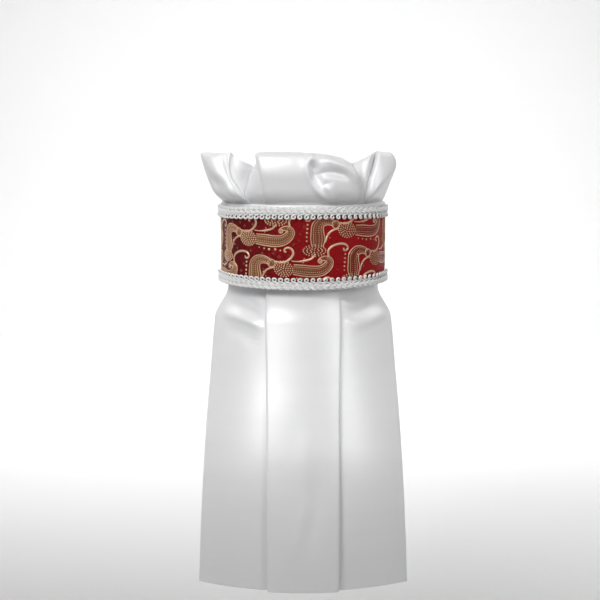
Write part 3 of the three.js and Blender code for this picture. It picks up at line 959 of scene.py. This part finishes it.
# A braid's name, the node that it replaces, its outer edge's height, and which way its loops point.
Braid = namedtuple("Braid", "name node edge down")
BRAIDS = (
    Braid("upper_braid_cord", "upper_braid", 28.8, 1),
    Braid("lower_braid_cord", "lower_braid", -29.6, -1),
)


def plait_yarns():
    """Centre lines of the plait's yarns, as (along, out, up) from the plait's middle."""
    along = np.arange(-BRAID_REACH, BRAID_REACH, PLAIT_LENGTH / PLAIT_STEPS)
    for strand in range(PLAIT_STRANDS):
        phase = 2 * math.pi * (along / PLAIT_LENGTH + strand / PLAIT_STRANDS)
        up = PLAIT_SWING * np.sin(phase)
        slope = PLAIT_SWING * 2 * math.pi / PLAIT_LENGTH * np.cos(phase)
        out = PLAIT_LIFT * np.sin(2 * phase)
        norm = np.sqrt(1 + slope**2)
        for yarn in PLAIT_YARNS:
            yield np.stack([along - yarn * slope / norm, out, up + yarn / norm], axis=1)


def loop_line(pitch):
    """A cord that curls into a ring at each pitch, as (along, out, up) from the loops' middle."""
    rings = math.floor(2 * BRAID_REACH / pitch) - 1
    turn = np.linspace(0, 2 * math.pi * rings, rings * LOOP_STEPS)
    along = pitch / (2 * math.pi) * (turn - math.pi * rings) - LOOP_HALF_WIDTH * np.sin(turn)
    out = LOOP_LIFT * np.sin(turn) + LOOP_TUCK * np.cos(turn)
    return np.stack([along, out, -LOOP_HALF_HEIGHT * np.cos(turn)], axis=1)


def make_braid(braid):
    """A plait along the brocade's edge with a row of loops that point over the brocade."""
    pitch = NECK_SHARE * sizes().loop_pitch / MM
    cord = sizes().cord_width / MM / 2
    stands = BROCADE_THICKNESS + GAP / 2 + BRAID_STANDS
    lines = [(line, PLAIT_YARN_RADIUS, PLAIT_MIDDLE) for line in plait_yarns()]
    lines.append((loop_line(pitch), cord, LOOP_MIDDLE))
    points, faces, places, shade_levels, first = [], [], [], [], 0
    for line, radius, middle in lines:
        along, out, up = line.T
        height = tapered(along, braid.edge) - braid.down * middle + braid.down * up
        path = on_neck(along, on_collar(along) + stands + out, height)
        outward = on_neck(along, on_collar(along) + stands + out + 1, height) - path
        new_points, new_faces, new_places, stand = tube(path, outward, radius * MM)
        shade_levels.append((out[:, None] + stand).ravel())
        faces += [[i + first for i in face] for face in new_faces]
        first += len(new_points)
        points.append(new_points)
        places.append(new_places)
    piece = make_mesh(braid.name, np.concatenate(points), faces, CORD_ANGLE)
    add_cloth_map(piece, np.concatenate(places) * MAP_UNIT)
    # Painted shade: this depth attribute makes the cord material darken the braid's points that lie low, as
    # in crevices.
    depth = piece.data.attributes.new("depth", "FLOAT", "POINT")
    depth.data.foreach_set("value", smooth(np.concatenate(shade_levels), *BRAID_SHADE_DEPTHS))
    settle(piece, cord_material(), [braid.node])


def make_braids():
    for braid in BRAIDS:
        make_braid(braid)


# The brocade and its woven pattern

# The weave is drawn in millimetres on the cloth, from the middle of each repeat's long paisley head. The
# cloth lies further out than the neck, so a length on it covers only this share of it along the neck.
NECK_SHARE = 0.86
PATTERN_INSET = 0.4
UNDER_BRAID = 3
REPEAT_ORIGIN = (-41.3, 6.3)
REPEAT_ACROSS = (74.4, 6)
REPEAT_DOWN = (27.9, -21)

# Rows of a spine are (along, up, half width).
LONG_PAISLEY = [
    (6.4, -0.4, 3.6), (10, -0.7, 3.9), (14.8, -1.2, 4.1), (20.6, -1.7, 4.0), (26.4, -1.1, 3.8),
    (30.5, 1.4, 3.5), (32.2, 4.4, 3.2), (31.2, 6.6, 2.4), (28.8, 7.4, 1.6), (26.4, 6.9, 1.25),
    (24.9, 5.8, 0.95), (24.6, 4.4, 0.4),
]
HOOKED_PAISLEY = [
    (5, -32.2, 4.4), (5.2, -27.2, 5.5), (4.9, -22, 4.8), (5.2, -18.2, 4.5), (7.4, -15.5, 3.8),
    (11.1, -14.6, 2.9), (14.6, -15.2, 2.4), (17.6, -16.6, 2.0),
]
# A bulb is the rolled tip of a paisley, as (along, up, radius).
BULBS = [(18.3, -17.1, 2.7), (25.5, 5.5, 1.4)]
# A head is (along, up, half length, half height, turn in degrees).
HEADS = [(-0.7, 0, 6.7, 5.3, -10), (2.9, -35.1, 8.0, 3.9, 0)]
VINES = [
    [(-17.2, -8.4, 0.35), (-15.9, -4.4, 0.55), (-13.6, -1.2, 0.6), (-10.4, 0.4, 0.55), (-6.9, 1, 0.45)],
    [(5.2, 5.6, 0.3), (10, 5.3, 0.4), (14.1, 5.8, 0.65), (18, 6.7, 0.6), (20.5, 8.3, 0.55),
     (21.8, 10.4, 0.45)],
    [(31.6, 9, 0.7), (31.4, 12.4, 0.65), (33.8, 15.4, 0.7), (38.8, 17.2, 0.65), (44, 17, 0.65),
     (46.5, 14.9, 0.6), (45.6, 12.8, 0.6), (43.4, 12.9, 0.55), (43.2, 14.4, 0.4)],
    [(20.6, -15.8, 0.5), (25.5, -16.5, 0.65), (29.5, -15.7, 0.7), (33, -12.8, 0.7), (34.2, -9.7, 0.7),
     (33, -7, 0.65), (30.5, -6.1, 0.6), (28.3, -7, 0.6), (28, -8.7, 0.55), (29.5, -9.1, 0.4)],
]
# A bead is (along, up, radius).
BEADS = [
    (8.9, -6.3, 0.6), (12.8, -6.9, 0.75), (16.6, -7.5, 1.05), (21.2, -7.4, 1.1), (25, -8.1, 0.8),
    (28, -7.6, 0.5), (-1.7, -14.2, 0.75), (-2.1, -17.1, 0.9), (-2.3, -19.9, 1.0), (-2.5, -22.8, 1.0),
    (-2.7, -25.6, 0.9), (-2.7, -28.4, 0.8), (14.2, 7.4, 0.55), (13.4, 4.5, 0.45), (-15.6, -2.4, 0.75),
    (-13.9, -5.2, 0.5),
]
FLOWERS = [
    (3.5, 9.6), (-11.2, -7.8), (11.2, -10.6), (38.4, -1), (41.9, 8.6), (34.4, -3.8), (-8.1, 10.8),
    (24, -12.6), (39.1, 3.4), (1.7, -8.9), (47.7, -6), (51.2, 2.4), (25, 14.6), (15, 12.8), (-11, 7.4),
    (12, -21.6), (31, -20.6),
]
FLOWER_PETALS = ((0.8, 0), (-0.8, 0), (0, 0.8), (0, -0.8), (0, 0))
LEAST_HALF_WIDTH = 0.12
BASE_RISE = 0.02
SPINE_STEPS = 72
VINE_STEPS = 44
VINE_REACH = 1.15
BULB_STEPS = 21
BULB_RIM = 0.36
BULB_CURL = 0.7 * np.arange(5)
HEAD_STEPS = 17
HEAD_ROWS = 1.5
BOBBLE_SPACING = 1.75
BEAD_SPACING = 1.5
BROAD = 1.9
# Each sort of thread in the weave: its width or its beads' radius in millimetres, its rise as a share of
# the pattern's relief, and its tone from dark to pale.
Thread = namedtuple("Thread", "size rise tone")
FILLING = Thread(None, 0.3, 0.2)
OUTLINE = Thread(0.7, 1.6, 1.0)
INNER_LINE = Thread(0.5, 1.3, 0.78)
SMALL_BEADS = Thread(0.42, 1.2, 0.7)
LARGE_BEADS = Thread(0.5, 1.4, 0.85)
CURL_BEADS = Thread(0.4, 1.3, 0.75)
HEAD_FILLING = Thread(None, 0.4, 0.05)
BOBBLES = Thread(0.66, 2.2, 0.95)
PETALS = Thread(0.42, 0.4, 0.1)
VINE = Thread(None, 1.5, 0.95)
LOOSE_BEADS = Thread(None, 2, 0.85)
OUTLINE_SHARE = 0.93
INNER_SHARE = 0.56
BEAD_SHARES = {0.26: SMALL_BEADS, -0.2: LARGE_BEADS}


def beside(spine, share):
    """Places beside a spine, at a share of its half width."""
    ahead = unit(np.gradient(spine[:, :2], axis=0))
    x = spine[:, 0] - share * spine[:, 2] * ahead[:, 1]
    return np.stack([x, spine[:, 1] + share * spine[:, 2] * ahead[:, 0]], axis=1)


class Pattern:
    """The gold weave as points (along, up, rise), faces and a tone at each point."""

    def __init__(self, relief):
        self.relief = relief
        self.points = []
        self.faces = []
        self.tones = []

    def band(self, spine, thread, reach=1, steps=5):
        """A strip along a spine, to a share of its half width at both sides, domed across."""
        first = len(self.points)
        parts = np.linspace(0, 1, steps)
        lifts = BASE_RISE + self.relief * thread.rise * (4 * parts * (1 - parts))
        lines = np.stack([beside(spine, -reach + 2 * reach * part) for part in parts], axis=1)
        for places in lines:
            self.points += [(x, y, lift) for (x, y), lift in zip(places, lifts)]
        self.tones += [thread.tone] * (len(spine) * steps)
        for row in range(first, len(self.points) - steps, steps):
            self.faces += [(a, a + 1, a + steps + 1, a + steps) for a in range(row, row + steps - 1)]

    def edges(self, spine, share, thread):
        """Raised lines of even width at both sides of a spine, at a share of its half width."""
        halves = np.full(len(spine), thread.size / 2)
        for side in (-share, share):
            self.band(np.column_stack([beside(spine, side), halves]), thread, steps=4)

    def bead(self, x, y, thread, radius=None, ring=6):
        """A low bead, with a thread's radius unless it has its own."""
        first = len(self.points)
        radius = radius or thread.size
        rise = self.relief * thread.rise
        self.points.append((x, y, 0.03 + rise))
        self.tones.append(thread.tone)
        for share, lift, paler in ((0.62, 0.75, 0.9), (1.0, 0.0, 0.3)):
            for k in range(ring):
                turn = 2 * math.pi * k / ring
                side, up = radius * share * math.cos(turn), radius * share * math.sin(turn)
                self.points.append((x + side, y + up, BASE_RISE + rise * lift))
                self.tones.append(thread.tone * paler)
        inner, outer = first + 1, first + 1 + ring
        for k in range(ring):
            after = (k + 1) % ring
            self.faces.append((first, inner + k, inner + after))
            self.faces.append((inner + k, outer + k, outer + after, inner + after))

    def beads_beside(self, spine, share, thread):
        """A row of beads beside a spine, at a share of its half width."""
        x, y = beside(spine, share).T
        run = running(np.hypot(np.diff(x), np.diff(y)))
        for place in np.arange(BEAD_SPACING / 2, run[-1], BEAD_SPACING):
            self.bead(np.interp(place, run, x), np.interp(place, run, y), thread)

    def paisley(self, rows):
        """A paisley's body: a dark filling, lines and rows of beads inside it, and a pale outline."""
        spine = spread_spine(rows, SPINE_STEPS)
        self.band(spine, FILLING, steps=9)
        self.edges(spine, OUTLINE_SHARE, OUTLINE)
        inner = spine[spine[:, 2] > BROAD]
        self.edges(inner, INNER_SHARE, INNER_LINE)
        for share, thread in BEAD_SHARES.items():
            self.beads_beside(inner, share, thread)

    def bulb(self, x, y, radius):
        """The rolled tip of a paisley: a dark disc, a pale rim and a curl of beads."""
        turns = np.linspace(0, 2 * math.pi, BULB_STEPS + 1)
        rim = np.full(BULB_STEPS + 1, BULB_RIM)
        ring = np.stack([x + radius * np.cos(turns), y + radius * np.sin(turns), rim], axis=1)
        first = len(self.points)
        self.points += [(x, y, 0.03)] + [(px, py, 0.03) for px, py, _ in ring[:-1]]
        self.tones += [FILLING.tone] * (BULB_STEPS + 1)
        self.faces += [(first, first + 1 + k, first + 1 + (k + 1) % BULB_STEPS) for k in range(BULB_STEPS)]
        self.band(ring, OUTLINE, steps=4)
        for turn in BULB_CURL:
            side, up = radius * 0.5 * math.cos(turn), radius * 0.5 * math.sin(turn)
            self.bead(x + side, y + up, CURL_BEADS)

    def head(self, x, y, length, height, degrees):
        """A bobbled head: rings of pale beads over a dark filling."""
        ahead, aside = math.cos(math.radians(degrees)), math.sin(math.radians(degrees))
        parts = np.linspace(-0.98, 0.98, HEAD_STEPS)
        halves = height * np.sqrt(1 - parts**2)
        spine = np.column_stack([x + length * parts * ahead, y + length * parts * aside, halves])
        self.band(spine, HEAD_FILLING, steps=9)
        around = math.pi * (length + height)
        for ring in np.linspace(1, 0.06, max(2, round(height / HEAD_ROWS)) + 1):
            count = max(1, round(around * ring / BOBBLE_SPACING))
            for angle in 2 * math.pi * (np.arange(count) + 5 * ring) / count:
                side, up = length * ring * math.cos(angle), height * ring * math.sin(angle)
                place = (x + side * ahead - up * aside, y + side * aside + up * ahead)
                self.bead(*place, BOBBLES, ring=7)


def spread_spine(rows, count):
    rows = np.asarray(rows, float)
    knots = running(np.sqrt(np.linalg.norm(np.diff(rows[:, :2], axis=0), axis=1)))
    spine = curve_through(knots, rows, np.linspace(0, knots[-1], count))
    spine[:, 2] = np.maximum(spine[:, 2], LEAST_HALF_WIDTH)
    return spine


def pattern_repeat(relief):
    """One repeat of the weave: a long paisley, a hooked one, their vines, beads and small flowers."""
    pattern = Pattern(relief)
    for x, y in FLOWERS:
        for side, up in FLOWER_PETALS:
            pattern.bead(x + side, y + up, PETALS, ring=5)
    for rows in VINES:
        pattern.band(spread_spine(rows, VINE_STEPS), VINE, VINE_REACH)
    for rows in (LONG_PAISLEY, HOOKED_PAISLEY):
        pattern.paisley(rows)
    for bulb in BULBS:
        pattern.bulb(*bulb)
    for head in HEADS:
        pattern.head(*head)
    for x, y, radius in BEADS:
        pattern.bead(x, y, LOOSE_BEADS, radius, 7)
    return pattern


def make_pattern():
    """Repeats the weave over the brocade, cuts it at the strip's edges and bends it round the neck."""
    relief = sizes().pattern_relief / MM
    repeat = pattern_repeat(relief)
    flat = np.array(repeat.points)
    reach, half = (BROCADE_REACH - PATTERN_INSET) / NECK_SHARE, BROCADE_HALF - UNDER_BRAID
    mesh = bmesh.new()
    tone = mesh.verts.layers.float.new("tone")
    for across in range(-2, 3):
        for down in range(-3, 4):
            move = np.array(REPEAT_ORIGIN) + across * np.array(REPEAT_ACROSS) + down * np.array(REPEAT_DOWN)
            low, high = flat[:, :2].min(0) + move, flat[:, :2].max(0) + move
            if low[0] > reach or high[0] < -reach or low[1] > half or high[1] < -half:
                continue
            verts = [mesh.verts.new((x + move[0], y + move[1], rise)) for x, y, rise in repeat.points]
            for vert, value in zip(verts, repeat.tones):
                vert[tone] = value
            for face in repeat.faces:
                mesh.faces.new([verts[i] for i in face])
    for normal in ((1, 0, 0), (-1, 0, 0), (0, 1, 0), (0, -1, 0)):
        everything = mesh.verts[:] + mesh.edges[:] + mesh.faces[:]
        place = [(reach if normal[0] else half) * part for part in normal]
        bmesh.ops.bisect_plane(mesh, geom=everything, plane_co=place, plane_no=normal, clear_outer=True)
    data = bpy.data.meshes.new("brocade_gold_weave")
    mesh.to_mesh(data)
    mesh.free()
    flat = np.array([v.co for v in data.vertices])
    along = flat[:, 0] * NECK_SHARE
    placed = on_neck(along, on_collar(along) + BROCADE_THICKNESS + flat[:, 2], flat[:, 1])
    data.vertices.foreach_set("co", placed.ravel())
    piece = smooth_piece("brocade_gold_weave", data)
    add_cloth_map(piece, flat[:, :2])
    return settle(piece, gold_material())


def make_brocade():
    columns, rows = BROCADE_GRID
    alongs = np.linspace(-BROCADE_REACH, BROCADE_REACH, columns)[:, None]
    heights = tapered(alongs, BROCADE_HALF) * np.linspace(-1, 1, rows)[None, :]
    inner = on_collar(alongs) + 0 * heights
    piece = neck_wall("brocade_ground", alongs, heights, inner, inner + BROCADE_THICKNESS)
    settle(piece, brocade_material(), ["brocade_strip"])
    weave = make_pattern()


# The stage

CAMERA_PLACE = (-0.0022, -0.992115, 0.081333)
CAMERA_TILT = 82.8
CAMERA_LENS = 80.46
FLOOR_HEIGHT = -0.3
FLOOR_REACH = 1.3
BACKDROP_CURVE = ((0.12, 0.01), (0.11, 0.04), (0.09, 0.08), (0.05, 0.12), (0.01, 0.15), (0, 1.6))
# A lamp's spread, in degrees, is how far its grid lets the light fan out.
Lamp = namedtuple("Lamp", "name place aim size power spread")
LAMPS = [
    Lamp("key softbox", (-0.36, -0.93, 0.64), (0, -0.05, -0.08), (0.7, 0.4), 7.2, 120),
    Lamp("right softbox", (0.55, -0.98, 0.36), (0, -0.05, -0.12), (0.6, 0.5), 3.8, 120),
    Lamp("low softbox", (0, -1.2, -0.1), (0, -0.06, -0.16), (0.6, 0.3), 1.0, 120),
    Lamp("left backdrop lamp", (-0.7, 0.45, 0.75), (-0.1, 1.1, -0.15), (0.5, 0.5), 6.0, 120),
    Lamp("right backdrop lamp", (0.7, 0.45, 0.75), (0.1, 1.1, -0.15), (0.5, 0.5), 6.0, 120),
]


def make_floor():
    bpy.ops.object.select_all(action="DESELECT")
    bpy.ops.mesh.primitive_plane_add(size=2 * FLOOR_REACH, location=(0, 0, FLOOR_HEIGHT))
    floor = bpy.context.object
    floor.name = "floor"
    for edge in floor.data.edges:
        edge.select = all(floor.data.vertices[i].co.y > 0 for i in edge.vertices)
    bpy.ops.object.mode_set(mode="EDIT")
    bpy.ops.mesh.select_mode(type="EDGE")
    for back, rise in BACKDROP_CURVE:
        bpy.ops.mesh.extrude_region_move(TRANSFORM_OT_translate={"value": (0, back, rise)})
    bpy.ops.object.mode_set(mode="OBJECT")
    bpy.ops.object.shade_smooth()
    floor.data.materials.append(new_material("Pale Paper", {"Base Color": grey(0.82), "Roughness": 0.85})[0])


def make_lamps():
    for lamp in LAMPS:
        light = bpy.data.lights.new(lamp.name, "AREA")
        light.shape = "RECTANGLE"
        light.size, light.size_y = lamp.size
        light.energy = lamp.power
        light.spread = math.radians(lamp.spread)
        holder = add_object(lamp.name, light)
        holder.location = lamp.place
        direction = Vector(lamp.aim) - Vector(lamp.place)
        holder.rotation_euler = direction.to_track_quat("-Z", "Y").to_euler()


def make_stage():
    make_floor()
    make_lamps()
    world = bpy.data.worlds.new("studio")
    world.use_nodes = True
    set_inputs(world.node_tree.nodes["Background"], {"Color": grey(0.75), "Strength": 0.2})
    bpy.context.scene.world = world
    bpy.context.scene.view_settings.view_transform = "Standard"
    camera = bpy.data.cameras.new("camera")
    camera.lens = CAMERA_LENS
    holder = add_object("camera", camera)
    holder.location = CAMERA_PLACE
    holder.rotation_euler = (math.radians(CAMERA_TILT), 0, 0)
    bpy.context.scene.camera = holder


# Operators and panel


class StockTieOperator:
    bl_options = {"REGISTER", "UNDO"}

    def execute(self, context):
        self.make()
        return {"FINISHED"}


class STOCKTIE_OT_collar(StockTieOperator, bpy.types.Operator):
    """Make the padded satin collar"""

    bl_idname = "stocktie.collar"
    bl_label = "Collar"

    make = staticmethod(make_collar)


class STOCKTIE_OT_closure(StockTieOperator, bpy.types.Operator):
    """Make the hook and loop tape at the back and its stitches"""

    bl_idname = "stocktie.closure"
    bl_label = "Closure"

    make = staticmethod(make_closure)


class STOCKTIE_OT_brocade(StockTieOperator, bpy.types.Operator):
    """Make the brocade strip and its woven pattern"""

    bl_idname = "stocktie.brocade"
    bl_label = "Brocade"

    make = staticmethod(make_brocade)


class STOCKTIE_OT_braids(StockTieOperator, bpy.types.Operator):
    """Make the two rows of looped braid"""

    bl_idname = "stocktie.braids"
    bl_label = "Braids"

    make = staticmethod(make_braids)


class STOCKTIE_OT_frill(StockTieOperator, bpy.types.Operator):
    """Make the pleated frill that stands above the collar"""

    bl_idname = "stocktie.frill"
    bl_label = "Frill"

    make = staticmethod(make_frill)


class STOCKTIE_OT_bib(StockTieOperator, bpy.types.Operator):
    """Make the pleated bib that hangs below the collar"""

    bl_idname = "stocktie.bib"
    bl_label = "Bib"

    make = staticmethod(make_bib)


class STOCKTIE_OT_stage(StockTieOperator, bpy.types.Operator):
    """Make the floor, the lights and the camera"""

    bl_idname = "stocktie.stage"
    bl_label = "Stage"

    make = staticmethod(make_stage)


OPERATORS = (
    STOCKTIE_OT_stage,
    STOCKTIE_OT_collar,
    STOCKTIE_OT_closure,
    STOCKTIE_OT_brocade,
    STOCKTIE_OT_braids,
    STOCKTIE_OT_frill,
    STOCKTIE_OT_bib,
)


class STOCKTIE_PT_panel(bpy.types.Panel):
    """Sizes, colours and pieces of the stock tie"""

    bl_label = "Stock Tie"
    bl_idname = "STOCKTIE_PT_panel"
    bl_space_type = "VIEW_3D"
    bl_region_type = "UI"
    bl_category = "Stock Tie"

    def draw(self, context):
        for group in (context.scene.stock_tie_sizes, context.scene.stock_tie_colours):
            box = self.layout.box()
            for key in group.__annotations__:
                box.prop(group, key)
        for operator in OPERATORS:
            self.layout.operator(operator.bl_idname)


CLASSES = (StockTieSizes, StockTieColours, *OPERATORS, STOCKTIE_PT_panel)


def register():
    for cls in CLASSES:
        bpy.utils.register_class(cls)
    bpy.types.Scene.stock_tie_sizes = PointerProperty(type=StockTieSizes)
    bpy.types.Scene.stock_tie_colours = PointerProperty(type=StockTieColours)


def unregister():
    del bpy.types.Scene.stock_tie_colours
    del bpy.types.Scene.stock_tie_sizes
    for cls in reversed(CLASSES):
        bpy.utils.unregister_class(cls)


def main():
    register()
    bpy.ops.object.select_all(action="DESELECT")
    bpy.ops.stocktie.stage()
    bpy.ops.stocktie.collar()
    bpy.ops.stocktie.closure()
    bpy.ops.stocktie.brocade()
    bpy.ops.stocktie.braids()
    bpy.ops.stocktie.frill()
    bpy.ops.stocktie.bib()


if __name__ == "__main__":
    main()
